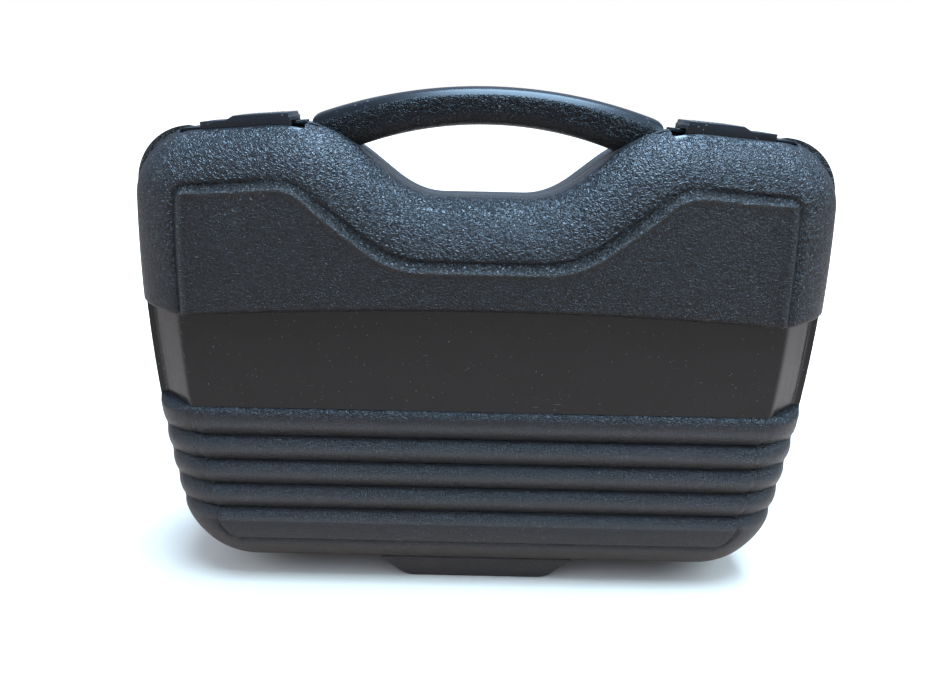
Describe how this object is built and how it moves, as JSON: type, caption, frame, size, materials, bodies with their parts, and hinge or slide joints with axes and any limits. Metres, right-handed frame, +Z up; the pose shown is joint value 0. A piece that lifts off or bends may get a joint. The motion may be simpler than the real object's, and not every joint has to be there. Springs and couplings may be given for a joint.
{
  "type": "hard carrying case",
  "caption": "Moulded hard carrying case for a hand-held instrument, with hinged front shell, fixed arched handle, sliding top latches, foam pads and dividers.",
  "frame": {"origin": "middle of the case's bounding box, on the surface the case stands on", "axes": "+Z up to the handle, -Y out of the front shell, +X to the right seen from the front; the shells part on the plane y = -22.5 mm"},
  "size_m": [0.395, 0.107, 0.3065],
  "materials": {
    "grained_shell": "black moulded plastic with a pebbled grain",
    "smooth_latch": "smooth black moulded plastic",
    "liner": "satin black moulded plastic",
    "foam": "open-cell dark grey foam",
    "steel": "bright steel"
  },
  "bodies": {
    "base": {"rear_shell": "grained_shell", "carry_handle": "grained_shell", "rear_liner": "liner", "base_pad": "foam", "divider_long": "liner", "divider_short": "liner", "hinge_pin": "steel", "pin_plug_left": "smooth_latch", "pin_plug_right": "smooth_latch"},
    "lid": {"front_shell": "grained_shell", "front_liner": "liner", "lid_pad": "foam"},
    "latch_left": {"latch_slider_left": "smooth_latch", "latch_spring_left": "steel"},
    "latch_right": {"latch_slider_right": "smooth_latch", "latch_spring_right": "steel"}
  },
  "joints": [
    {"name": "lid_hinge", "type": "hinge", "parent": "base", "child": "lid", "pos_m": [0, -0.0225, 0.0056], "axis": [1, 0, 0], "range_deg": [0, 155]},
    {"name": "latch_left_slide", "type": "slide", "parent": "base", "child": "latch_left", "axis": [-0.9968, 0, -0.0797], "range_m": [0, 0.011]},
    {"name": "latch_right_slide", "type": "slide", "parent": "base", "child": "latch_right", "axis": [0.9968, 0, -0.0797], "range_m": [0, 0.011]}
  ]
}
